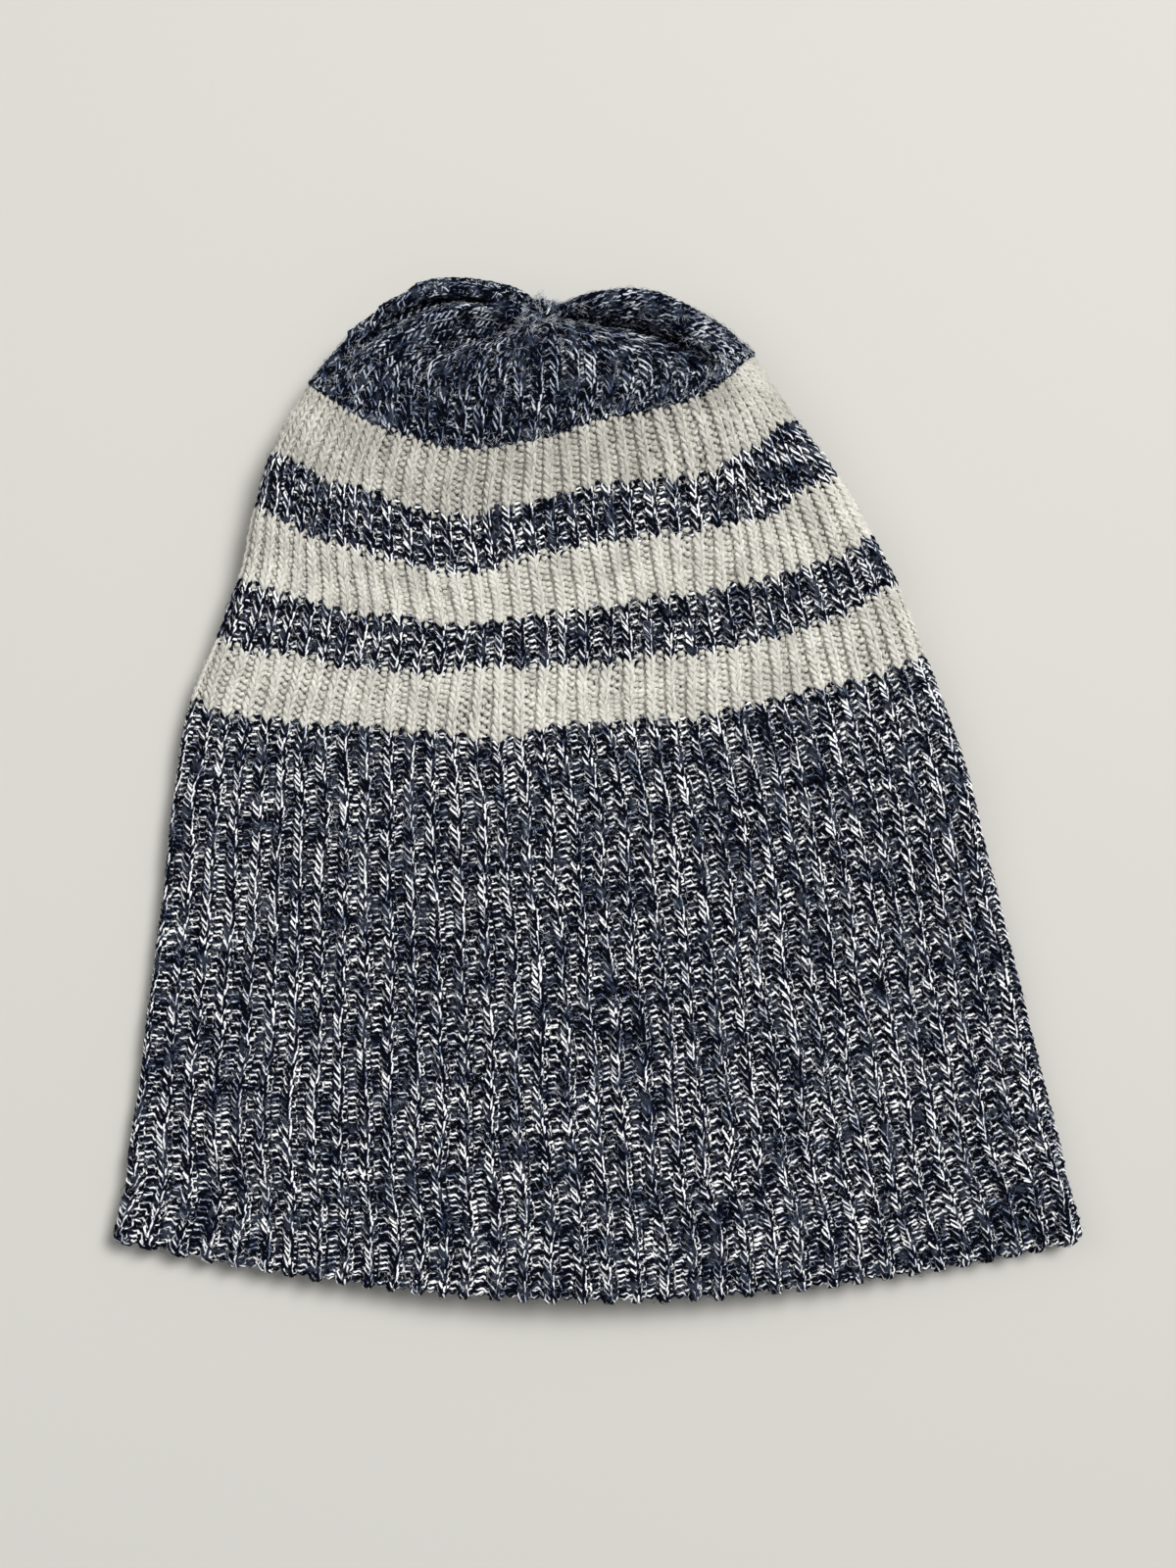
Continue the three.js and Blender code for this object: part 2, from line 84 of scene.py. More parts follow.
# ---- the flattened shape ----
# Cross-sections of the hat, close to the CAD model's but a little wider at the hem: row, left
# and right side folds, sag of the front and of the back, shape of the sag, fold radius, height
# at the middle, and where the front gore starts and ends as fractions of the half width.
STATION_PARTS = ("left", "right", "sag", "power", "fold", "height", "seams")
STATIONS = [
    (0, (-126.4, -115.2), (126.2, -115.2), (14.4, 11), 2.0, 4.9, 18, (-0.51, 0.51)),
    (12, (-122.6, -98), (121.0, -98), (14.2, 11), 2.0, 4.8, 18, (-0.51, 0.51)),
    (28, (-118.4, -73), (114.6, -73), (14, 10), 2.0, 4.6, 17.5, (-0.51, 0.51)),
    (44, (-115.4, -48), (108.4, -48), (13.6, 9), 2.0, 4.8, 17, (-0.51, 0.51)),
    (60, (-112.0, -23), (101.4, -20), (13.2, 9), 2.1, 5.2, 17, (-0.52, 0.52)),
    (76, (-109.3, 1), (94.0, 9), (13, 9), 2.2, 5.8, 17.5, (-0.52, 0.52)),
    (92, (-105.0, 24.1), (84.0, 35.6), (13.4, 9), 2.4, 6.6, 18.5, (-0.53, 0.53)),
    (102, (-98.0, 40.1), (77.1, 53), (14.4, 9), 2.8, 7.6, 19, (-0.54, 0.55)),
    (110, (-92.4, 55.6), (69.4, 67.6), (16, 9), 3.0, 8.6, 19.5, (-0.56, 0.58)),
    (120, (-88.4, 72.6), (60.6, 82.4), (18, 9), 3.0, 9.6, 20, (-0.60, 0.64)),
    (128, (-83.6, 88.4), (50.4, 95.9), (19.2, 9), 3.0, 10.4, 20.5, (-0.64, 0.72)),
    (138, (-74.1, 104.4), (39.6, 111.8), (18.7, 8), 3.0, 11, 21, (-0.66, 0.76)),
]
STATION_ROWS = [station[0] for station in STATIONS]
FRONT_POINTS = 64  # points of a cross-section between its seams, front or back
SIDE_POINTS = 24  # from a seam to the side fold
FOLD_POINTS = 40  # round the side fold

# Near the crown the rows of the front dip on the left and rise on the right.
RIPPLE = 2.6
RIPPLE_ROWS = (100, 118)  # it grows between these rows
DIP = (-32, 16)  # x of its middle, and its width
RISE_GROWS = (-16, 5)  # x between which the rise grows, and then fades
RISE_FADES = (8, 38)

# The ribs lean sideways below the hem line, most at one wale near the front left seam.
HEM_LEAN = (0.3, 1.0)  # everywhere, and how much more at that wale
HEM_LEAN_PLACE = (-6, 11)  # the wale, and the width of the lean round it
HEM_LEAN_FADE = 10  # courses over which it fades
HEM_CREASE = (0.45, 1.1)  # depth, and width in courses, of the crease at the hem line

# The slanting wrinkle across the upper stripe.
WRINKLE_WALE = 13  # where its ridge crosses WRINKLE_ROW
WRINKLE_ROW = 121
WRINKLE_SLANT = 0.14  # wales for each course
WRINKLE_ROWS = (126, 9)  # its middle row, and its reach in courses
WRINKLE_DEPTH = 1.5
WRINKLE_WIDTH = 0.9
WRINKLE_RISE = 1.3  # how far the rows rise beyond the ridge, in courses
WRINKLE_DIP = 0.5  # how far they dip before it

SWELL_ROWS = (4, 20)  # the swell of the fabric grows between these rows
SETTLING_COURSES = 8  # the rows stop drifting over these courses below the crown

# The crown: the closure, and the lines that lead to it from the top of the upper stripe. The
# seams lie deeper in the puffed fabric than in the CAD model.
CLOSURE = (-15, 120.2, 13.5)
CROWN_LINES = {
    "front_left": [(-50, 107.5, 15.0), (-37, 112.6, 10.4), (-24, 117.2, 10.2)],
    "front_right": [(27.5, 108.8, 16.0), (13.5, 116.6, 8.8), (-4, 119.0, 9.6)],
    "back_left": [(-48, 115, 1.5), (-36, 122, 4.5), (-22, 124.2, 9.5)],
    "back_right": [(17, 118, 1.5), (6, 123.4, 4.5), (-8, 123.8, 9.5)],
    "front": [(-15.6, 99.6, 21.8), (-15, 109.8, 21.6), (-14.8, 116.6, 18.6)],
    "right": [(29.5, 119.6, 14.0), (13, 126.6, 17.4), (-3, 125.6, 17.6)],
    "back": [(-15.6, 114, 0.4), (-14.8, 123.4, 3.2), (-14.8, 125.6, 9)],
    "left": [(-62.5, 116.6, 13.6), (-44, 127.4, 16.8), (-25.5, 126.2, 17.6)],
}
GORE_SHAPE = {"front": 4.0, "right": 2.7, "back": 2.2, "left": 2.4}  # how box-like each gore is
LOBE_VALLEY = (0.32, 0.13, 7.5)  # place, width and depth of the crease in the left lobe
CROWN_END = 0.955  # the gores' stitches stop here, short of the closure

# ---- detail of the yarn ----
YARN_SIDES = 6
FIBRE_SIDES = 3
STRIP_MARGIN = 0.08  # empty share on each side of a strip in the bake map
TUBE_STRIPS = 3  # strips in the bake map for each course of the tube
GORE_STRIP = 24  # samples in one strip of the gores
GORE_SAMPLES = 12  # samples along a stitch of the gores
FRONT_FIRST = -(GORE_WALES // 2)
FRONT_LAST = GORE_WALES + GORE_WALES // 2
SIDES = {  # wales, samples along a stitch, and loose fibres for each stitch
    "front": ((FRONT_FIRST, FRONT_LAST), 12, 1.3),
    "back": ((FRONT_LAST, WALES + FRONT_FIRST), 8, 0.6),
}
GORE_FIBRES = 1600
CLOSURE_FIBRES = 260
FIBRE_RADIUS = 0.04
FIBRE_LOWEST = 0.1
FIBRE_TAPER = (0.15, 0.9, 1, 0.9, 0.15)


# ---- smooth curves ----
def smooth_through(xs, ys, x):
    """A smooth curve through the points (xs, ys), read at every x."""
    xs = np.asarray(xs, float)
    ys = np.asarray(ys, float)
    slopes = np.empty_like(ys)
    slopes[1:-1] = (ys[2:] - ys[:-2]) / (xs[2:] - xs[:-2])
    slopes[0] = (ys[1] - ys[0]) / (xs[1] - xs[0])
    slopes[-1] = (ys[-1] - ys[-2]) / (xs[-1] - xs[-2])
    i = np.clip(np.searchsorted(xs, x, side="right") - 1, 0, len(xs) - 2)
    step = xs[i + 1] - xs[i]
    t = (x - xs[i]) / step
    start = (2 * t**3 - 3 * t**2 + 1) * ys[i] + (t**3 - 2 * t**2 + t) * step * slopes[i]
    end = (3 * t**2 - 2 * t**3) * ys[i + 1] + (t**3 - t**2) * step * slopes[i + 1]
    return start + end


def smoothstep(low, high, x):
    t = np.clip((x - low) / (high - low), 0, 1)
    return t * t * (3 - 2 * t)


def hump(x, middle, width):
    """A smooth hump of height 1 round its middle."""
    return np.exp(-((x - middle) / width) ** 2)


def unit(vectors):
    """The vectors made one long."""
    return vectors / np.maximum(np.linalg.norm(vectors, axis=-1, keepdims=True), 1e-9)


def each_axis(read, points):
    """The x, y and z of a line of points, each read by the same rule."""
    points = np.asarray(points, float)
    return np.stack([read(points[:, k]) for k in range(3)], axis=1)


def length_along(points):
    """The length of a line of points, or of several such lines, up to each point."""
    steps = np.linalg.norm(np.diff(points, axis=-2), axis=-1)
    start = np.zeros((*steps.shape[:-1], 1))
    return np.concatenate([start, np.cumsum(steps, axis=-1)], axis=-1)


def evenly_along(points, count):
    """A line of points read at count + 1 places, evenly by length."""
    length = length_along(points)
    wanted = np.linspace(0, length[-1], count + 1)
    return each_axis(lambda values: np.interp(wanted, length, values), points)


def evenly_spaced(vectors, count):
    """Vectors along a line read at count + 1 places, evenly by their number."""
    place = np.linspace(0, len(vectors) - 1, count + 1)
    return each_axis(lambda values: np.interp(place, np.arange(len(values)), values), vectors)


def smooth_line(points, count):
    """A smooth curve through a few points, read at count + 1 places."""
    knots = np.linspace(0, 1, len(points))
    fine = np.linspace(0, 1, 8 * len(points))
    return evenly_along(each_axis(lambda values: smooth_through(knots, values, fine), points), count)


class Waves:
    """Smooth random variation over wales and courses: a sum of waves, the same each run."""

    def __init__(self, seed, wale_size, course_size, amount, count=28):
        rng = np.random.default_rng(seed)
        turns = np.round(rng.normal(0, WALES / wale_size, count))
        self.across = turns * 2 * math.pi / WALES
        self.along = rng.normal(0, 2 * math.pi / course_size, count)
        self.phase = rng.uniform(0, 2 * math.pi, count)
        self.scale = amount * math.sqrt(2 / count)

    def at(self, wale, course):
        height = np.zeros(np.broadcast(wale, course).shape)
        for across, along, phase in zip(self.across, self.along, self.phase):
            height += np.cos(across * wale + along * course + phase)
        return height * self.scale


WANDER = Waves(11, 9, 26, 0.13)  # drift of the ribs from side to side, in wales
ROW_DRIFT = Waves(12, 16, 18, 0.4)  # rise and fall of the rows, in courses
JITTER_X = Waves(13, 1.7, 2.2, 0.05)  # unevenness from stitch to stitch, in wales
JITTER_Y = Waves(14, 1.9, 2.0, 0.07)  # the same in courses
JITTER_Z = Waves(15, 1.6, 1.9, 0.06)  # the same in depth
THICKNESS = Waves(16, 2.6, 5.0, 0.07)  # unevenness of the yarn, as a share of its radius
SKEW_DRIFT = Waves(17, 14, 20, 0.6)  # change of the loops' slant, as a share of it
SWELL = Waves(18, 18, 22, 0.35)  # gentle waves in the height of the fabric


# ---- the flattened tube ----
def section_at(row):
    """The cross-section at any row: each part of the stations, read smoothly."""
    section = {}
    for place, part in enumerate(STATION_PARTS, 1):
        columns = np.array([station[place] for station in STATIONS]).reshape(len(STATIONS), -1).T
        values = [float(smooth_through(STATION_ROWS, column, row)) for column in columns]
        section[part] = values if len(values) > 1 else values[0]
    return section


def skin_points(section, x, z, lift):
    """Points at x from the section's middle; lift runs from 0 at the back to 1 at the front."""
    (x_left, y_left), (x_right, y_right) = section["left"], section["right"]
    u = np.clip(x / ((x_right - x_left) / 2), -1, 1)
    chord = (y_left + y_right) / 2 + u * (y_right - y_left) / 2
    sag = section["sag"][1] + (section["sag"][0] - section["sag"][1]) * lift
    y = chord - sag * (1 - np.abs(u) ** section["power"])
    return np.stack([(x_right + x_left) / 2 + x, y, z + 0 * x], axis=1)


def row_ripple(x, row):
    """How far the rows of the front dip or rise near the crown."""
    rise = smoothstep(*RISE_GROWS, x) * (1 - smoothstep(*RISE_FADES, x))
    return RIPPLE * smoothstep(*RIPPLE_ROWS, row) * (rise - hump(x, *DIP))


def loop_sectors(row, depth):
    """The loop at a row, `depth` inside the skin, as four lines: front, right, back, left."""
    section = section_at(row)
    half = (section["right"][0] - section["left"][0]) / 2
    fold = section["fold"]
    flat = half - fold
    rise = section["height"] - 2 * fold
    seam_left, seam_right = [share * half for share in section["seams"]]

    def front(start, end, count):
        x = np.linspace(start, end, count)
        wave = np.cos(math.pi / 2 * np.minimum(1, np.abs(x) / flat)) ** 2
        points = skin_points(section, x, 2 * fold + rise * wave - depth, 1)
        points[:, 1] += row_ripple(points[:, 0], row)
        return points

    def back(start, end, count):
        return skin_points(section, np.linspace(start, end, count), depth, 0)

    def around(side):
        angle = np.linspace(0, math.pi, FOLD_POINTS)
        x = side * (flat + (fold - depth) * np.sin(angle))
        z = fold + (fold - depth) * np.cos(angle)
        return skin_points(section, x, z, (1 + np.cos(angle)) / 2)

    right = [front(seam_right, flat, SIDE_POINTS), around(1), back(flat, seam_right, SIDE_POINTS)]
    left = [back(seam_left, -flat, SIDE_POINTS), around(-1)[::-1],
            front(-flat, seam_left, SIDE_POINTS)]
    return [front(seam_left, seam_right, FRONT_POINTS), np.concatenate(right),
            back(seam_right, seam_left, FRONT_POINTS), np.concatenate(left)]


# ---- surfaces that the yarn follows ----
class Surface:
    """A grid of points with normals, read smoothly at any wale and course."""

    def __init__(self, points, start, step, closed):
        """start and step are pairs: the wale and the course."""
        self.points = points
        self.start = start
        self.step = step
        self.closed = closed
        across = np.gradient(points, axis=1)
        if closed:
            across[:, 0] = across[:, -1] = (points[:, 1] - points[:, -2]) / 2
        self.normals = unit(np.cross(across, np.gradient(points, axis=0)))

    def at(self, wale, course):
        """Points and normals at wales and courses."""
        rows, columns = self.points.shape[:2]
        x = (wale - self.start[0]) / self.step[0]
        y = (course - self.start[1]) / self.step[1]
        if self.closed:
            x = np.mod(x, columns - 1)
        just_inside = 1.001
        x = np.clip(x, 0, columns - just_inside)
        y = np.clip(y, 0, rows - just_inside)
        i = x.astype(int)
        j = y.astype(int)
        fx = (x - i)[..., None]
        fy = (y - j)[..., None]
        mixed = []
        for grid in (self.points, self.normals):
            low = grid[j, i] * (1 - fx) + grid[j, i + 1] * fx
            high = grid[j + 1, i] * (1 - fx) + grid[j + 1, i + 1] * fx
            mixed.append(low * (1 - fy) + high * fy)
        return mixed[0], unit(mixed[1])


def hem_path(course):
    """The row and depth of a course: the CAD rows, except round the fold and inside it."""
    turn = (HEM_FOLD_ROW - course) / HEM_FOLD_COURSES
    if turn <= 0:
        return course, MID_DEPTH
    if turn < 1:
        row = HEM_FOLD_ROW - HEM_FOLD_RADIUS / COURSE * math.sin(math.pi * turn)
        return row, MID_DEPTH + HEM_FOLD_RADIUS * (1 - math.cos(math.pi * turn))
    past = (turn - 1) * HEM_FOLD_COURSES
    return HEM_FOLD_ROW + past, MID_DEPTH + 2 * HEM_FOLD_RADIUS


def tube_surface(columns_per_wale=6, course_step=0.25):
    """The whole tube, from just past the inner edge of the hem to just past the crown's row."""
    start = ROW["hem_edge"] - 1.5
    end = ROW["crown"] + 1
    loops = []
    for k in range(round((end - start) / course_step) + 1):
        sectors = loop_sectors(*hem_path(start + k * course_step))
        lines = [evenly_along(line, GORE_WALES * columns_per_wale)[:-1] for line in sectors]
        loop = np.concatenate(lines)
        loops.append(np.concatenate([loop, loop[:1]]))
    return Surface(np.array(loops), (0, start), (1 / columns_per_wale, course_step), closed=True)


# The seam lines at the start and the end of each gore. Its middle line has the gore's name.
GORES = {
    "front": ("front_left", "front_right"),
    "right": ("front_right", "back_right"),
    "back": ("back_right", "back_left"),
    "left": ("back_left", "front_left"),
}
BASES = dict(zip(GORES, loop_sectors(ROW["crown"], 0)))
LINE_STARTS = {}
for gore, (start_line, _) in GORES.items():
    LINE_STARTS[start_line] = BASES[gore][0]
    LINE_STARTS[gore] = evenly_along(BASES[gore], 2)[1]


def crown_line(name, r):
    """A crown line at r from 0, the top of the stripes, to 1, the closure."""
    points = [LINE_STARTS[name], *CROWN_LINES[name], CLOSURE]
    knots = np.linspace(0, 1, len(points))
    return each_axis(lambda values: smooth_through(knots, values, r), points)


def gore_skin(name, r, u):
    """The outer skin of a gore on a grid of r (rows) and u (columns, -1 to 1)."""
    base = evenly_along(BASES[name], len(u) - 1)
    t = ((u + 1) / 2)[None, :, None]
    fade = (1 - r * r)[:, None, None]
    base_flat = base[0] * (1 - t) + base[-1] * t
    swell = (base[None] - base_flat) * fade
    low, high, middle = [crown_line(line, r)[:, None] for line in (*GORES[name], name)]
    base_middle = base[len(u) // 2] - (base[0] + base[-1]) / 2
    bulge = middle - (low + high) / 2 - base_middle * fade
    dome = (1 - np.abs(u) ** GORE_SHAPE[name])[None, :, None]
    skin = low * (1 - t) + high * t + swell + bulge * dome
    if name == "left":
        place, width, depth = LOBE_VALLEY
        skin[..., 2] -= depth * hump(u, place, width)[None] * np.sin(math.pi * r)[:, None]
    skin[..., 2] = np.maximum(skin[..., 2], 0)
    return np.array([evenly_along(line, len(u) - 1) for line in skin])


def gore_surfaces(columns=181, rows=161):
    """The middle surface of each gore; its coordinates are u, from -1 to 1, and r."""
    r = np.linspace(0, 1, rows)
    u = np.linspace(-1, 1, columns)
    skins = {name: gore_skin(name, r, u) for name in GORES}
    normals = {
        name: unit(np.cross(np.gradient(skin, axis=1), np.gradient(skin, axis=0)))
        for name, skin in skins.items()
    }
    order = list(GORES)
    surfaces = {}
    for place, name in enumerate(order):
        before = normals[order[place - 1]][:, -1]
        after = normals[order[(place + 1) % len(order)]][:, 0]
        seam_low = (normals[name][:, 0] + before)[:, None]
        seam_high = (normals[name][:, -1] + after)[:, None]
        seam = unit(np.where((u < 0)[None, :, None], seam_low, seam_high))
        weight = (np.abs(u) ** 3)[None, :, None]
        mixed = unit(normals[name] * (1 - weight) + seam * weight)
        surfaces[name] = Surface(skins[name] - MID_DEPTH * mixed, (-1, 0),
                                 (2 / (columns - 1), 1 / (rows - 1)), closed=False)
    return surfaces


TUBE = tube_surface()
GORE_SURFACES = gore_surfaces()


# ---- stitches ----
def loop_spread(s):
    """How much wider than high the yarn is along a loop: most where it crosses over."""
    return YARN_SPREAD + CROSSING_SPREAD * np.abs(np.cos(2 * math.pi * s))


def stitch_lines(place, courses, first, last, samples, pitch_at, fullness):
    """Yarn centre lines for whole courses: points and normals along them, and their wales.

    place(wale, course) gives points and normals, and pitch_at the width of a rib.
    """
    steps = (last - first) * samples + 1
    s = first + np.arange(steps) / samples
    wale = np.minimum(np.floor(s), last - 1)
    t = 2 * math.pi * (s - wale)
    is_purl = np.mod(wale, 2) == 1
    rib_start = wale - is_purl
    course = np.asarray(courses, float)[:, None]
    pitch = pitch_at(rib_start[None] + 1, course)
    share = np.clip(fullness / (pitch + RIB_CLOSING), *KNIT_SHARES)
    width = np.where(is_purl, 1 - share, share)
    begin = np.where(is_purl, share, 0)
    lean = np.where(is_purl, PURL_LEAN, KNIT_LEAN) * np.minimum(1, width * pitch / 2) / pitch
    across = begin + width * t / (2 * math.pi) + lean * np.sin(2 * t)
    flat = np.where(is_purl, PURL_FLATNESS, KNIT_FLATNESS)
    rise = -LOOP_HEIGHT * (np.cos(t) - flat * np.cos(3 * t)) / (1 - flat)
    skew = LOOP_SKEW * (1 + SKEW_DRIFT.at(s[None], course)) * COURSE / pitch
    relief = RELIEF * np.where(is_purl, -1, 1) * np.sin(t) ** 2
    x = rib_start + 2 * (across - skew * rise) + JITTER_X.at(s[None], course)
    y = course + rise + JITTER_Y.at(s[None], course)
    z = relief + JITTER_Z.at(s[None], course)
    points, normals = place(x, y)
    return points + normals * z[..., None], normals, s


def tube_rings(points, normals, radius, spread, sides):
    """Rings of `sides` points around each yarn line, wider across the fabric by `spread`."""
    tangent = unit(np.gradient(points, axis=1))
    side = unit(np.cross(tangent, normals))
    up = np.cross(side, tangent)
    side = side * spread[:, None]
    angle = np.arange(sides) * 2 * math.pi / sides
    out = np.cos(angle)[:, None] * side[:, :, None] + np.sin(angle)[:, None] * up[:, :, None]
    return points[:, :, None] + out * radius[..., None, None]


def random_turns(seed, yarns):
    """Where the twist of each yarn starts, from 0 to 1."""
    return np.random.default_rng(seed).uniform(0, 1, yarns)


def face_corners(low, high, here, there, shape):
    """The values at the four corners of each face: those round the yarn, and those along it."""
    low, high, here, there = [np.broadcast_to(v, shape) for v in (low, high, here, there)]
    return np.stack([low, high, high, low], axis=-1), np.stack([here, here, there, there], axis=-1)


def write_map(mesh, name, u, v):
    layer = mesh.uv_layers.new(name=name)
    layer.data.foreach_set("uv", np.stack([u, v], axis=-1).astype(np.float32).ravel())


def write_yarn_map(mesh, turns, sides):
    """The angle round the yarn, and the turns of its twist along it."""
    edge = np.arange(sides + 1) / sides
    shape = (turns.shape[0], turns.shape[1] - 1, sides)
    around, along = face_corners(edge[:-1], edge[1:], turns[:, :-1, None], turns[:, 1:, None], shape)
    write_map(mesh, "yarn", around, along)


def write_bake_map(mesh, yarns, stretches, sides, strips):
    """Every stretch of yarn in a strip of its own, so that nothing overlaps."""
    per_strip = math.ceil(stretches / strips)
    place = np.arange(stretches)
    strip = (np.arange(yarns)[:, None] * strips + place // per_strip)[..., None]
    start = ((place % per_strip) / per_strip)[None, :, None]
    edge = STRIP_MARGIN + (1 - 2 * STRIP_MARGIN) * np.arange(sides + 1) / sides
    count = yarns * strips
    around, along = face_corners((strip + edge[:-1]) / count, (strip + edge[1:]) / count,
                                 start, start + 1 / per_strip, (yarns, stretches, sides))
    write_map(mesh, "OFBake", along, around)


def yarn_mesh(name, points, normals, radius, spread, sides, strips, first_turn):
    """One mesh of many yarns: points is yarns x samples x 3."""
    rings = tube_rings(points, normals, radius, spread, sides)
    rings[..., 2] = np.maximum(rings[..., 2], 0)
    yarns, samples = points.shape[:2]
    verts = rings.reshape(-1, 3) * MM
    index = np.arange(len(verts)).reshape(yarns, samples, sides)
    following = np.roll(index, -1, axis=2)
    quads = np.stack([index[:, :-1], following[:, :-1], following[:, 1:], index[:, 1:]], axis=-1)
    count = quads.size // 4
    mesh = bpy.data.meshes.new(name)
    mesh.vertices.add(len(verts))
    mesh.vertices.foreach_set("co", verts.astype(np.float32).ravel())
    mesh.loops.add(count * 4)
    mesh.loops.foreach_set("vertex_index", quads.astype(np.int32).ravel())
    mesh.polygons.add(count)
    mesh.polygons.foreach_set("loop_start", np.arange(0, count * 4, 4, dtype=np.int32))
    mesh.polygons.foreach_set("loop_total", np.full(count, 4, dtype=np.int32))
    mesh.polygons.foreach_set("use_smooth", np.ones(count, dtype=bool))
    mesh.update(calc_edges=True)
    write_yarn_map(mesh, length_along(points) / TWIST + first_turn[:, None], sides)
    write_bake_map(mesh, yarns, samples - 1, sides, strips)
    return mesh


# ---- materials ----
LIGHT_PLIES = 2  # the off-white plies of the marl yarn
PLIES = 4
FIBRE_GRAIN = (15, 9)  # how fine the fibres in the yarn are, across and along it
PLY_HEIGHT = 0.35  # how far plies stand out, compared with fibres
BUMP_HEIGHT = 0.12
WOOL_ROUGHNESS = (0.3, 0.72)  # share that follows the fibres, and the rest
TAPE_WEAVE = (0.35, 0.22)  # spacing of the tape's threads in x and y
MIX_AMOUNT, MIX_FROM, MIX_TO, MIX_RESULT = 0, 6, 7, 2  # a mix node's sockets for colours


def srgb(code):
    """A linear colour from a hex code such as 1a2336."""
    parts = [int(code[i:i + 2], 16) / 255 for i in (0, 2, 4)]
    linear = [p / 12.92 if p <= 0.04045 else ((p + 0.055) / 1.055) ** 2.4 for p in parts]
    return (*linear, 1)


class Paint:
    """A new material, and the nodes that make its pattern."""

    def __init__(self, name, roughness, sheen):
        self.material = bpy.data.materials.new(name)
        self.material.use_nodes = True
        self.nodes = self.material.node_tree.nodes
        self.links = self.material.node_tree.links
        self.surface = self.nodes["Principled BSDF"].inputs
        self.surface["Roughness"].default_value = roughness
        self.surface["Specular IOR Level"].default_value = 0.02
        self.surface["Sheen Weight"].default_value = sheen
        self.surface["Sheen Roughness"].default_value = 0.5

    def new(self, kind):
        return self.nodes.new(f"ShaderNode{kind}")

    def math(self, operation, *inputs):
        node = self.new("Math")
        node.operation = operation
        for place, value in enumerate(inputs):
            if isinstance(value, (int, float)):
                node.inputs[place].default_value = value
            else:
                self.links.new(value, node.inputs[place])
        return node.outputs[0]

    def scaled(self, value, factor, offset):
        return self.math("MULTIPLY_ADD", value, factor, offset)

    def centred(self, value, strength):
        """A noise value moved to swing round zero."""
        return self.scaled(value, strength, -strength / 2)

    def total(self, *values):
        result = values[0]
        for value in values[1:]:
            result = self.math("ADD", result, value)
        return result

    def object_place(self):
        return self.new("TexCoord").outputs["Object"]

    def split(self, vector):
        node = self.new("SeparateXYZ")
        self.links.new(vector, node.inputs[0])
        return node.outputs

    def noise(self, place, scale, detail):
        node = self.new("TexNoise")
        node.inputs["Scale"].default_value = scale
        node.inputs["Detail"].default_value = detail
        self.links.new(place, node.inputs["Vector"])
        return node.outputs["Fac"]

    def patches(self, scale, detail):
        """Noise that is fixed to the object."""
        return self.noise(self.object_place(), scale, detail)

    def ramp(self, value, stops):
        node = self.new("ValToRGB")
        elements = node.color_ramp.elements
        elements.remove(elements[0])
        elements[0].position = stops[0][0]
        elements[0].color = srgb(stops[0][1])
        for position, code in stops[1:]:
            elements.new(position).color = srgb(code)
        self.links.new(value, node.inputs["Fac"])
        return node.outputs["Color"]

    def mix(self, amount, colour, code):
        """Moves a colour towards another one by an amount from 0 to 1."""
        node = self.new("Mix")
        node.data_type = "RGBA"
        self.links.new(amount, node.inputs[MIX_AMOUNT])
        self.links.new(colour, node.inputs[MIX_FROM])
        node.inputs[MIX_TO].default_value = srgb(code)
        return node.outputs[MIX_RESULT]

    def yarn_pattern(self):
        """Three patterns that wind round the yarn: light plies, all plies, and fine fibres."""
        uv = self.new("UVMap")
        uv.uv_map = "yarn"
        around, along, _ = self.split(uv.outputs["UV"])
        turn = self.math("SUBTRACT", around, along)
        light, plies = [
            self.math("COSINE", self.math("MULTIPLY", turn, 2 * math.pi * count))
            for count in (LIGHT_PLIES, PLIES)
        ]
        grain = self.new("CombineXYZ")
        for place, value in enumerate((turn, along)):
            self.links.new(self.math("MULTIPLY", value, FIBRE_GRAIN[place]), grain.inputs[place])
        return light, plies, self.noise(grain.outputs[0], scale=1, detail=3)

    def relief(self, plies, fibres, strength):
        """Plies and fibres that stand out, and a roughness that follows the fibres."""
        height = self.scaled(plies, PLY_HEIGHT, fibres)
        bump = self.new("Bump")
        bump.inputs["Strength"].default_value = strength
        bump.inputs["Distance"].default_value = BUMP_HEIGHT * MM
        self.links.new(height, bump.inputs["Height"])
        self.links.new(bump.outputs["Normal"], self.surface["Normal"])
        self.links.new(self.scaled(fibres, *WOOL_ROUGHNESS), self.surface["Roughness"])

    def colour(self, value):
        self.links.new(value, self.surface["Base Color"])


def marl_material(name, darker, light, lightest):
    """Strands of dark blue and off-white twisted together, with stray fibres between them."""
    paint = Paint(name, roughness=0.95, sheen=0.015)
    plies_light, plies, fibres = paint.yarn_pattern()
    patch = paint.patches(scale=170, detail=3)
    fine = paint.patches(scale=900, detail=2)
    level = paint.total(
        paint.scaled(plies_light, 0.5, 0.36 - darker), paint.centred(fibres, 0.45),
        paint.centred(fine, 0.3), paint.centred(patch, 0.9))
    colour = paint.ramp(level, [
        (0.0, "04060c"), (0.45, "0a1021"), (0.62, "1b2640"), (0.73, "6f7888"), (0.81, light),
        (0.92, lightest),
    ])
    haze = paint.scaled(paint.patches(scale=260, detail=4), 2.2, -1.16)
    most_haze = 0.2
    haze = paint.math("MINIMUM", paint.math("MAXIMUM", haze, 0.0), most_haze)
    paint.colour(paint.mix(haze, colour, "5d6678"))
    paint.relief(plies, fibres, strength=0.6)
    return paint.material


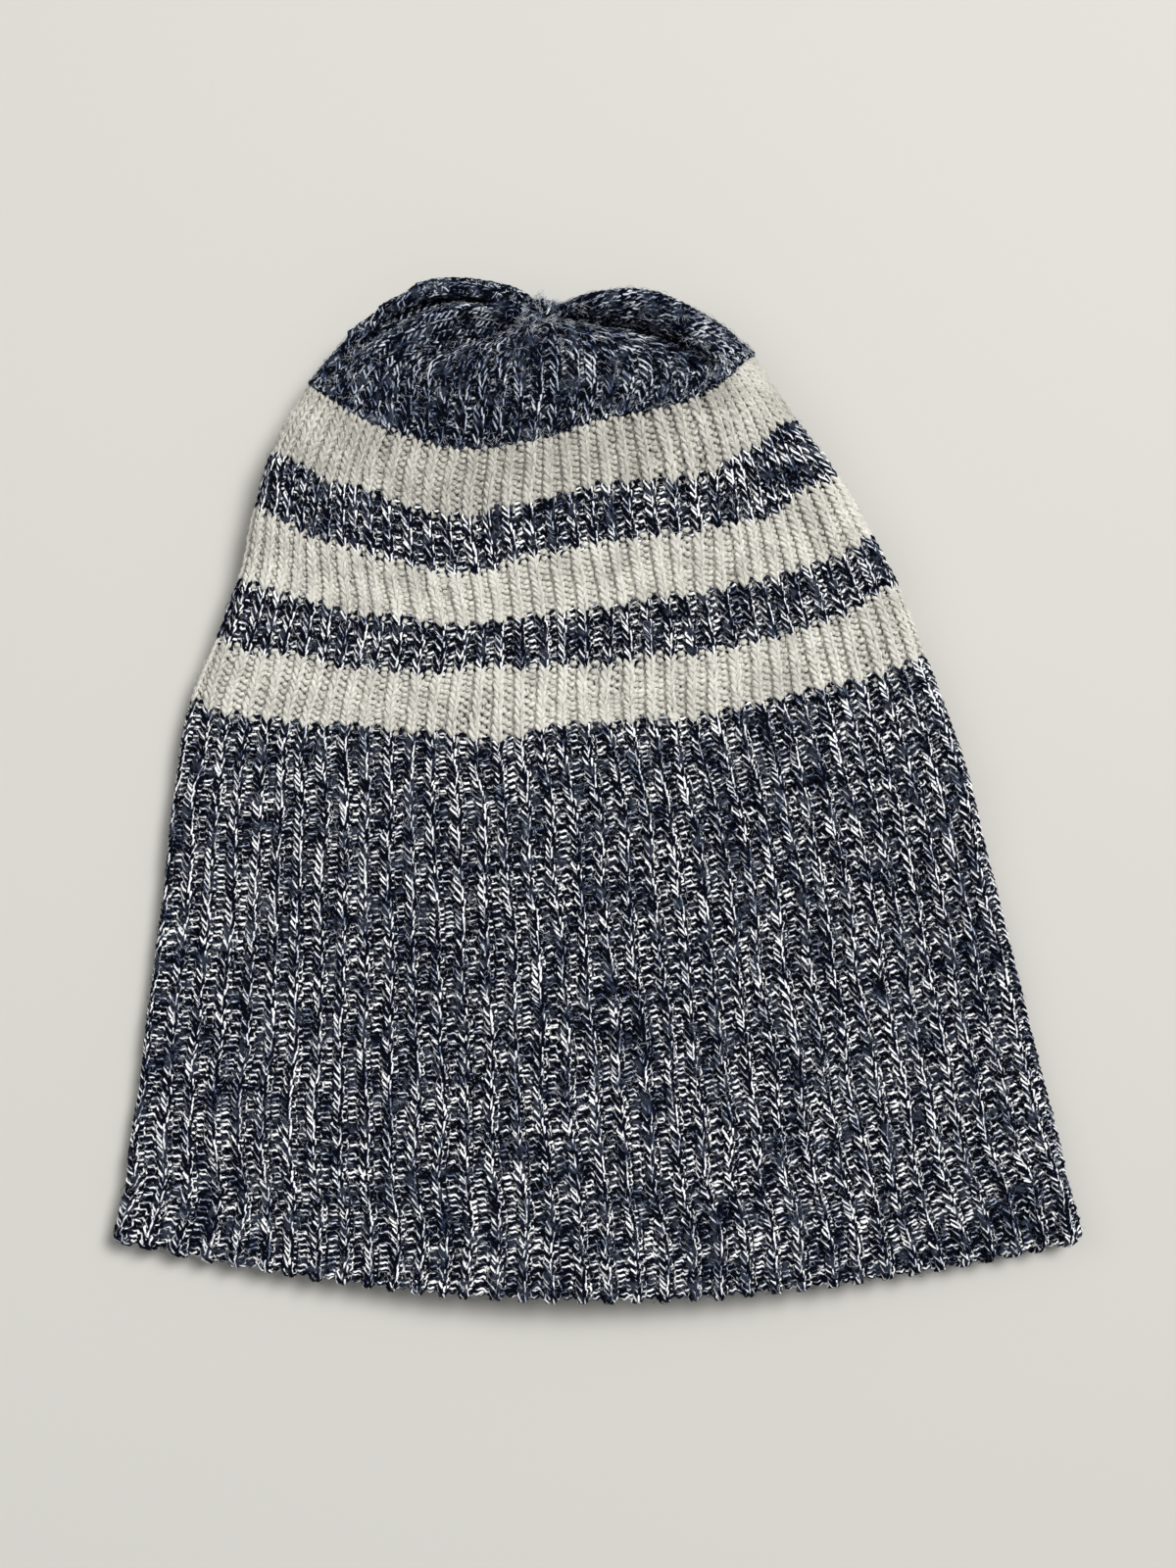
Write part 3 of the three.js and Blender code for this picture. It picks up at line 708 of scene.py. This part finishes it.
def grey_material(name, darker):
    """Pale grey wool with soft ply lines."""
    paint = Paint(name, roughness=0.95, sheen=0.06)
    _, plies, fibres = paint.yarn_pattern()
    patch = paint.patches(scale=120, detail=3)
    level = paint.total(paint.scaled(plies, 0.1, 0.46 - darker), paint.centred(fibres, 1.0),
                        paint.centred(patch, 0.9))
    paint.colour(paint.ramp(level, [(0.0, "8f8c84"), (0.5, "c1beb5"), (1.0, "e0ded5")]))
    paint.relief(plies, fibres, strength=0.7)
    return paint.material


def fibre_material(name, dark, light):
    """Single wool fibres, some dark and some light."""
    paint = Paint(name, roughness=0.9, sheen=0)
    speck = paint.patches(scale=500, detail=1)
    paint.colour(paint.ramp(speck, [(0.47, dark), (0.53, light)]))
    return paint.material


def thread_material(name, dark, light):
    """Smooth twisted sewing thread."""
    paint = Paint(name, roughness=0.7, sheen=0.05)
    _, plies, fibres = paint.yarn_pattern()
    level = paint.total(paint.scaled(plies, 0.3, 0.5), paint.centred(fibres, 0.6))
    paint.colour(paint.ramp(level, [(0.1, dark), (0.9, light)]))
    paint.relief(plies, fibres, strength=0.4)
    return paint.material


def tape_material():
    """Woven satin tape with a fine cross weave."""
    paint = Paint("label_tape", roughness=0.5, sheen=0.1)
    threads = [
        paint.math("SINE", paint.math("MULTIPLY", axis, 2 * math.pi / (spacing * MM)))
        for axis, spacing in zip(paint.split(paint.object_place()), TAPE_WEAVE)
    ]
    weave = paint.math("MULTIPLY", *threads)
    patch = paint.patches(scale=300, detail=3)
    level = paint.total(paint.scaled(weave, 0.2, 0.5), paint.centred(patch, 0.6))
    paint.colour(paint.ramp(level, [(0.0, "d2cfc8"), (1.0, "f4f2ee")]))
    paint.relief(weave, patch, strength=0.3)
    return paint.material


MARL = marl_material("marl_yarn", 0.0, "dededa", "f4f3ee")
# The crown's copy of the marl is darker, its light plies too: painted shade for the crown's puffed
# gores, which tilt away from the light and lie in each other's shadow.
SHADED_MARL = marl_material("marl_yarn_crown_shaded", 0.08, "b0b4b6", "cccece")
MARL_FIBRE = fibre_material("marl_fibres", "131a2c", "aeb2b6")
PALE_FIBRE = fibre_material("closure_fibres", "5a6475", "c3c8cf")
GREY_FIBRE = fibre_material("grey_fibres", "a9a69d", "e4e2da")
THREAD = thread_material("sewing_thread", "141c30", "2a3550")
LABEL_THREAD = thread_material("label_thread", "d8d6d0", "f1efea")
TAPE = tape_material()
GREY = grey_material("grey_yarn", -0.01)
# The upper stripe's copy of the grey is darker: painted shade for the top of the body, where the
# fabric tilts away from the light.
SHADED_GREY = grey_material("grey_yarn_upper_shaded", 0.18)


# ---- pieces of the tube ----
def add_object(name, data):
    item = bpy.data.objects.new(name, data)
    bpy.context.scene.collection.objects.link(item)
    return item


def add_piece(name, mesh, material, slot, node):
    piece = add_object(name, mesh)
    mesh.materials.append(material)
    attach(piece, "root")
    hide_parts(node)
    return piece


def rib_width(wale_centre, course):
    """The width of the rib whose middle is at a wale."""
    left, _ = TUBE.at(wale_centre - 1 + 0 * course, course + 0 * wale_centre)
    right, _ = TUBE.at(wale_centre + 1 + 0 * course, course + 0 * wale_centre)
    return np.linalg.norm(right - left, axis=-1)


def from_seam(wale):
    """Wales counted both ways from the front left seam."""
    return np.mod(wale + WALES / 2, WALES) - WALES / 2


def hem_lean(wale, course):
    """Sideways shift of the ribs below the hem line."""
    amount = HEM_LEAN[0] + HEM_LEAN[1] * hump(from_seam(wale), *HEM_LEAN_PLACE)
    return amount * (1 - smoothstep(ROW["hem_line"], ROW["hem_line"] + HEM_LEAN_FADE, course))


def wrinkle(wale, course):
    """The shift of the rows, and the depth, at the slanting wrinkle across the upper stripe."""
    past_ridge = from_seam(wale) - WRINKLE_WALE + WRINKLE_SLANT * (course - WRINKLE_ROW)
    near = hump(course, *WRINKLE_ROWS)
    rise = smoothstep(-0.6, 1.2, past_ridge) * (1 - smoothstep(2, 15, past_ridge))
    shift = WRINKLE_RISE * rise - WRINKLE_DIP * hump(past_ridge, -3, 4)
    return near * shift, -WRINKLE_DEPTH * near * hump(past_ridge, 0, WRINKLE_WIDTH)


def tube_place(wale, course):
    """Points and normals of the worn fabric: the tube with its drift, creases and swells."""
    drift = WANDER.at(wale, course) + hem_lean(wale, course)
    shift, groove = wrinkle(wale, course)
    settled = 1 - smoothstep(ROW["crown"] - SETTLING_COURSES, ROW["crown"], course)
    lift = (ROW_DRIFT.at(wale, course) + shift) * settled
    points, normals = TUBE.at(wale + drift, course + lift)
    crease_depth, crease_width = HEM_CREASE
    crease = -crease_depth * hump(course, ROW["hem_line"], crease_width)
    swell = SWELL.at(wale, course) * smoothstep(*SWELL_ROWS, course) + crease + groove
    facing_up = np.clip(normals[..., 2], 0, 1) * (course > HEM_FOLD_ROW)
    return points + normals * (facing_up * swell)[..., None], normals


def knit_piece(name, courses, wales, samples, material, slot, node):
    points, normals, s = stitch_lines(
        tube_place, courses, *wales, samples, rib_width, BODY_FULLNESS)
    radius = YARN * (1 + THICKNESS.at(s[None], courses[:, None]))
    turns = random_turns(courses[0] + 500, len(points))
    mesh = yarn_mesh(name, points, normals, radius, loop_spread(s), YARN_SIDES, TUBE_STRIPS, turns)
    add_piece(name, mesh, material, slot, node)


def knit_section(node, rows, material, slot, side_parts):
    """One yarn section of the tube, cut into pieces of a manageable size."""
    for (side, (wales, samples, _)), parts in zip(SIDES.items(), side_parts):
        edges = np.round(np.linspace(*rows, parts + 1)).astype(int)
        for part in range(parts):
            ending = f"_{part + 1}" if parts > 1 else ""
            courses = np.arange(edges[part], edges[part + 1])
            knit_piece(f"knit_{node}_{side}{ending}", courses, wales, samples, material, slot, node)


# ---- loose fibres ----
def fibre_lines(points, normals, seed, reach, lift):
    """Short curved fibres that start in the fabric and stand a little off it."""
    rng = np.random.default_rng(seed)
    count = len(points)
    along = unit(np.cross(normals, rng.normal(0, 1, (count, 3))))
    across = np.cross(normals, along)
    length = rng.uniform(0.5, 1, count)[:, None] * reach
    bend = rng.normal(0, 0.35, count)[:, None] * length
    height = rng.uniform(-0.2, 1, count)[:, None] * lift
    lines = []
    for t in np.linspace(0, 1, len(FIBRE_TAPER)):
        bow = across * bend * (4 * t * (1 - t) - 0.5)
        lines.append(points + along * length * (t - 0.5) + bow
                     + normals * height * math.sin(math.pi * t))
    return np.stack(lines, axis=1)


def fibre_piece(name, points, normals, seed, reach, lift, material, slot, node):
    lines = fibre_lines(points, normals, seed, reach, lift)
    lines[..., 2] = np.maximum(lines[..., 2], FIBRE_LOWEST)
    radius = np.broadcast_to(np.array(FIBRE_TAPER) * FIBRE_RADIUS, lines.shape[:2])
    off_normal = 0.01  # so that no fibre runs along its own up direction
    up = np.broadcast_to(normals[:, None], lines.shape) + off_normal
    mesh = yarn_mesh(name, lines, up, radius, np.ones(len(FIBRE_TAPER)), FIBRE_SIDES, 1,
                     random_turns(seed, len(lines)))
    add_piece(name, mesh, material, slot, node)


def section_fibres(node, rows, material, slot):
    """Fibres over one section of the tube, more of them on the front."""
    for side, ((first, last), _, per_stitch) in SIDES.items():
        count = int((last - first) * (rows[1] - rows[0]) * per_stitch)
        rng = np.random.default_rng(rows[0] * 10 + count)
        wale = rng.uniform(first, last, count)
        course = rng.uniform(*rows, count)
        points, normals = tube_place(wale, course)
        on_knit = np.abs(np.mod(wale, 2) - 0.4) < 0.45
        out = np.where(on_knit, RELIEF + YARN, 0.25 * RELIEF + YARN) * rng.uniform(0.75, 1.0, count)
        points = points + normals * out[:, None]
        fibre_piece(f"fibres_{node}_{side}", points, normals, count, 3.2, 0.7, material, slot, node)


# Sections of the tube: node, start and end, yarn and fibres, slot, pieces at front and back.
SECTIONS = [
    ("hem_band", "hem_edge", "hem_line", MARL, MARL_FIBRE, "marl_yarn", (2, 2)),
    ("marl_body", "hem_line", "stripe_low", MARL, MARL_FIBRE, "marl_yarn", (5, 3)),
    ("grey_stripe_lower", "stripe_low", "band_low", GREY, GREY_FIBRE, "grey_yarn", (1, 1)),
    ("marl_band_lower", "band_low", "stripe_mid", MARL, MARL_FIBRE, "marl_yarn", (1, 1)),
    ("grey_stripe_middle", "stripe_mid", "band_up", GREY, GREY_FIBRE, "grey_yarn", (1, 1)),
    ("marl_band_upper", "band_up", "stripe_top", MARL, MARL_FIBRE, "marl_yarn", (1, 1)),
    # the upper stripe takes the darker copy of the grey, which paints shade into its colour
    ("grey_stripe_upper", "stripe_top", "crown", SHADED_GREY, GREY_FIBRE, "grey_yarn", (1, 1)),
]


# ---- pieces of the crown ----
def gore_lines(name, surface):
    """The yarn of a gore, course by course, with fewer wales as it narrows to the closure."""
    r = np.linspace(0, CROWN_END, 200)
    length = length_along(crown_line(name, r))
    rows = int(length[-1] / COURSE)
    row_numbers = np.arange(rows + 1)
    r_rows = np.interp(row_numbers * COURSE, length, r)
    span = length_along(surface.points)[:, -1]
    lines = []
    for row in range(rows):
        width = np.interp(r_rows[row], np.linspace(0, 1, len(span)), span)
        half = GORE_WALES / 2 * min(1, width / span[0])

        def place(wale, course):
            return surface.at(wale / half, np.interp(course, row_numbers, r_rows))

        def pitch(wale_centre, course):
            return np.full(np.broadcast(wale_centre, course).shape, width / half)

        wales_each_way = math.ceil(half)
        points, normals, _ = stitch_lines(place, [row], -wales_each_way, wales_each_way,
                                          GORE_SAMPLES, pitch, CROWN_FULLNESS)
        lines.append((points[0], normals[0]))
    return lines


def gore_piece(name, surface):
    """Joins a gore's courses, which have different lengths, into one mesh of equal strips."""
    points = []
    normals = []
    first_turn = []
    seed = 900
    rng = np.random.default_rng(seed)
    for line_points, line_normals in gore_lines(name, surface):
        turn = rng.uniform(0, 1)
        for start in range(0, len(line_points) - 1, GORE_STRIP):
            strip = slice(start, start + GORE_STRIP + 1)
            points.append(line_points[strip])
            normals.append(line_normals[strip])
            first_turn.append(turn)
            turn += length_along(line_points[strip])[-1] / TWIST
    points = np.array(points)
    radius = np.full(points.shape[:2], CROWN_YARN)
    spread = loop_spread(np.arange(GORE_STRIP + 1) / GORE_SAMPLES)
    title = f"knit_crown_gore_{name}"
    mesh = yarn_mesh(title, points, np.array(normals), radius, spread, YARN_SIDES, 1,
                     np.array(first_turn))
    # the gores take the darker copy of the marl, which paints the crown's shade into its colour
    add_piece(title, mesh, SHADED_MARL, "marl_yarn", f"crown_gore_{name}")


def gore_fibres(name, surface):
    rng = np.random.default_rng(len(name) * 31)
    u = rng.uniform(-1, 1, GORE_FIBRES)
    r = rng.uniform(0, 1, GORE_FIBRES) ** 1.3 * CROWN_END
    points, normals = surface.at(u, r)
    points = points + normals * rng.uniform(0.8, 1.5, GORE_FIBRES)[:, None]
    fibre_piece(f"fibres_crown_gore_{name}", points, normals, GORE_FIBRES + len(name), 3.4, 0.9,
                MARL_FIBRE, "marl_yarn", f"crown_gore_{name}")


# ---- threads and trim ----
def strand_piece(name, lines, normals, radius, material, slot, node):
    """Threads along given lines, all with the same number of points, tapered at their ends."""
    lines = np.asarray(lines, float)
    normals = np.broadcast_to(np.asarray(normals, float), lines.shape)
    count = lines.shape[1]
    steps = np.arange(count)
    from_end = np.minimum(steps, steps[::-1])
    taper = np.sin(np.clip((from_end + 0.15) / 2, 0, 1) * math.pi / 2)
    thickness = np.broadcast_to(radius * taper, lines.shape[:2])
    strips = max(1, round(count / 24))
    mesh = yarn_mesh(name, lines, normals, thickness, np.ones(count), YARN_SIDES, strips,
                     random_turns(77, len(lines)))
    return add_piece(name, mesh, material, slot, node)


def coiled(path, up, radius, turn_length, samples_per_turn=10):
    """A helix round a path, and the directions away from the path."""
    count = int(length_along(path)[-1] / turn_length * samples_per_turn)
    path = evenly_along(path, count)
    tangent = unit(np.gradient(path, axis=0))
    side = unit(np.cross(tangent, evenly_spaced(up, count)))
    up = np.cross(side, tangent)
    angle = np.arange(count + 1) / samples_per_turn * 2 * math.pi
    out = np.cos(angle)[:, None] * side + np.sin(angle)[:, None] * up
    return path + radius * out, out


def crown_seam(name, surface):
    """Whip stitches that link a gore to the one before it, deep in the valley between them."""
    line = GORES[name][0]
    edge = slice(4, int(CROWN_END * len(surface.points)))
    helix, out = coiled(surface.points[edge, 0], surface.normals[edge, 0], 0.8, 2.6)
    strand_piece(f"linking_crown_seam_{line}", [helix], [out], 0.3, THREAD, "sewing_thread",
                 f"crown_seam_{line}")


# One loop of the drawn-up tips: distance outwards, height, and share of the sideways bend.
CLOSURE_LOOP = [(4.6, 0.6, 1), (3.2, 1.5, 0), (1.7, 1.0, -1), (0.5, -0.5, 0)]
CLOSURE_LOOPS = 14
KNOT_TURNS = 2.4
KNOT_POINTS = 60


def crown_closure():
    """The drawn-up tips: short loops of yarn gathered round the closure and a knot on top."""
    centre = np.array(CLOSURE) + (0, 0, 0.4)
    rng = np.random.default_rng(41)
    loops = []
    for k in range(CLOSURE_LOOPS):
        turn = 2 * math.pi * (k + rng.uniform(-0.35, 0.35)) / CLOSURE_LOOPS
        bend = rng.uniform(-0.5, 0.5)
        reach = rng.uniform(0.75, 1.05)
        out = reach * np.array([math.cos(turn), math.sin(turn), 0])
        aside = bend * np.array([-math.sin(turn), math.cos(turn), 0])
        loops.append(smooth_line([
            centre + out * distance + aside * share + (0, 0, height)
            for distance, height, share in CLOSURE_LOOP
        ], 14))
    strand_piece("gathered_crown_tips", loops, (0, 0, 1), CROWN_YARN, MARL, "marl_yarn",
                 "crown_closure")
    angle = np.linspace(0, KNOT_TURNS * 2 * math.pi, KNOT_POINTS)
    reach = np.linspace(1.5, 0.3, KNOT_POINTS)
    height = np.linspace(0.5, 1.0, KNOT_POINTS)
    knot = centre + np.stack([reach * np.cos(angle), reach * np.sin(angle), height], axis=1)
    strand_piece("drawstring_knot", [knot], (0, 0, 1), 0.35, THREAD, "sewing_thread",
                 "crown_closure")
    turn = rng.uniform(0, 2 * math.pi, CLOSURE_FIBRES)
    reach = 5.5 * np.sqrt(rng.uniform(0, 1, CLOSURE_FIBRES))
    height = rng.uniform(0.8, 2.0, CLOSURE_FIBRES)
    roots = centre + np.stack([reach * np.cos(turn), reach * np.sin(turn), height], axis=1)
    up = np.broadcast_to((0.0, 0.0, 1.0), roots.shape)
    fibre_piece("fibres_crown_closure", roots, up, 43, 3.6, 0.8, PALE_FIBRE, "marl_yarn",
                "crown_closure")


SEAM_POINTS = 900
SEAM_HALF_WIDTH = 0.55  # the seam's two yarns lie this far to each side of its middle
SEAM_HEIGHT = 0.62  # height of its middle above its lowest point
WHIPPING_SHAPE = (1.15, 1, 0.62)  # the whipping is wider than high


def back_seam():
    """The linking ridge inside the centre back: two yarns side by side, whipped together."""
    lowest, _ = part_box("back_seam")
    rows = np.linspace(ROW["hem_line"] + 1, ROW["crown"] - 1, 60)
    middle = np.array([skin_points(section_at(row), np.zeros(1), 0, 0)[0] for row in rows])
    middle[:, 2] = lowest[2] / MM + SEAM_HEIGHT
    yarns = []
    for side in (-SEAM_HALF_WIDTH, SEAM_HALF_WIDTH):
        yarn = evenly_along(middle + (side, 0, 0), SEAM_POINTS)
        yarn[:, 0] += 0.12 * np.sin(np.arange(SEAM_POINTS + 1) * 0.9 + side)
        yarns.append(yarn)
    strand_piece("back_seam_yarns", yarns, (0, 0, 1), 0.52, MARL, "marl_yarn", "back_seam")
    up = np.broadcast_to((0.0, 0.0, 1.0), middle.shape)
    helix, out = coiled(middle, up, 1.0, 2.4)
    helix = middle[0] + (helix - middle[0]) * WHIPPING_SHAPE
    strand_piece("back_seam_whipping", [helix], [out], 0.2, THREAD, "marl_yarn", "back_seam")


def hem_stitch():
    """A chain of thread that catches the turned edge of the hem to the inside of the body."""
    samples = 8
    wale = np.arange(WALES * samples + 1) / samples
    swing = 2 * math.pi * wale
    points, normals = TUBE.at(wale, 11.4 + 0.45 * np.sin(swing))
    depth = 1.75 + 0.35 * np.cos(2 * swing)
    strand_piece("hem_chain_stitch", [points - normals * depth[:, None]], [normals], 0.24,
                 THREAD, "sewing_thread", "hem_stitch_thread")


LABEL_SIZE = (20, 32)  # the blank care label, as cut
LABEL_STEPS = (40, 64)
LABEL_THICKNESS = 0.25
LABEL_CURL = 1.1  # how far its loose side lifts
LABEL_STITCHES = 12
LABEL_STITCH_STEP = 2.55
LABEL_STITCH = [(-0.9, 1.2, 0.2), (-0.1, 1.5, 0.85), (1.3, 2.4, 0.75), (1.5, 2.7, 0.1)]


def label_mesh(corner):
    across = np.linspace(0, 1, LABEL_STEPS[0] + 1)[None]
    along = np.linspace(0, 1, LABEL_STEPS[1] + 1)[:, None]
    x = corner[0] + LABEL_SIZE[0] * across + 0 * along
    y = corner[1] + LABEL_SIZE[1] * along + 0 * across
    wave = 0.25 * np.sin(2.4 * math.pi * along) * across + 0.12 * np.sin(5 * across + 2 * along)
    z = corner[2] + 0.35 + LABEL_CURL * across**2 + wave
    verts = np.stack([x, y, z], axis=2).reshape(-1, 3) * MM
    index = np.arange(len(verts)).reshape(LABEL_STEPS[1] + 1, LABEL_STEPS[0] + 1)
    quads = np.stack([index[:-1, :-1], index[:-1, 1:], index[1:, 1:], index[1:, :-1]], axis=-1)
    mesh = bpy.data.meshes.new("blank_care_label")
    mesh.from_pydata(verts.tolist(), [], quads.reshape(-1, 4).tolist())
    return mesh


def care_label():
    """A blank satin care label that lies on the inside of the back, and its row of stitches."""
    corner = np.array(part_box("care_label")[0]) / MM
    label = add_piece("blank_care_label", label_mesh(corner), TAPE, "label_tape", "care_label")
    solid = label.modifiers.new("thickness", "SOLIDIFY")
    solid.thickness = LABEL_THICKNESS * MM
    stitches = [
        smooth_line(corner + (0, k * LABEL_STITCH_STEP, 0) + LABEL_STITCH, 12)
        for k in range(LABEL_STITCHES)
    ]
    stitching = strand_piece("care_label_stitches", stitches, (0, 0, 1), 0.16, LABEL_THREAD,
                             "label_tape", "care_label_stitching")


for node, first_row, last_row, yarn, _, slot, side_parts in SECTIONS:
    knit_section(node, (ROW[first_row], ROW[last_row]), yarn, slot, side_parts)
for gore in GORE_SURFACES.items():
    gore_piece(*gore)
for node, first_row, last_row, _, fibre, slot, _ in SECTIONS:
    outside = (max(ROW["hem"], ROW[first_row]), ROW[last_row])
    section_fibres(node, outside, fibre, slot)
for make_part in (gore_fibres, crown_seam):
    for gore in GORE_SURFACES.items():
        make_part(*gore)
crown_closure()
back_seam()
hem_stitch()
care_label()

# ---- stage, in metres ----
FLOOR_HALF = 9
AREA_LIGHTS = {  # place, size and power
    "key": ((0.42, 0.4, 0.9), 0.4, 5.5),
    "fill": ((-0.9, 0.3, 1.0), 1.0, 4),
}


def aim(lamp, direction):
    """Turns a lamp, which shines along its -Z, to a direction."""
    lamp.rotation_euler = Vector(direction).to_track_quat("-Z", "Y").to_euler()


def make_floor():
    mesh = bpy.data.meshes.new("floor")
    half = FLOOR_HALF
    mesh.from_pydata([(-half, -half, 0), (half, -half, 0), (half, half, 0), (-half, half, 0)],
                     [], [(0, 1, 2, 3)])
    paint = Paint("pale_floor", roughness=0.9, sheen=0)
    paint.surface["Base Color"].default_value = srgb("bab8b2")
    mesh.materials.append(paint.material)
    add_object("floor", mesh)


def make_sky():
    world = bpy.data.worlds.new("world")
    bpy.context.scene.world = world
    world.use_nodes = True
    background = world.node_tree.nodes["Background"].inputs
    background["Color"].default_value = (0.95, 0.97, 1.0, 1)
    background["Strength"].default_value = 0.3


def make_lights():
    sun = bpy.data.lights.new("sun", "SUN")
    sun.energy = 2.45
    sun.angle = math.radians(22)
    aim(add_object("sun", sun), (-0.6, -0.55, -1.3))
    for name, (place, size, power) in AREA_LIGHTS.items():
        light = bpy.data.lights.new(name, "AREA")
        light.shape = "DISK"
        light.size = size
        light.energy = power
        lamp = add_object(name, light)
        lamp.location = place
        aim(lamp, -lamp.location)


def make_camera():
    data = bpy.data.cameras.new("camera")
    data.sensor_fit = "VERTICAL"
    data.sensor_height = 36
    data.lens = 54
    camera = add_object("camera", data)
    camera.location = (-0.0029, 0.0019, 0.61)
    bpy.context.scene.camera = camera


make_floor()
make_sky()
make_lights()
make_camera()
bpy.context.scene.view_settings.view_transform = "Standard"
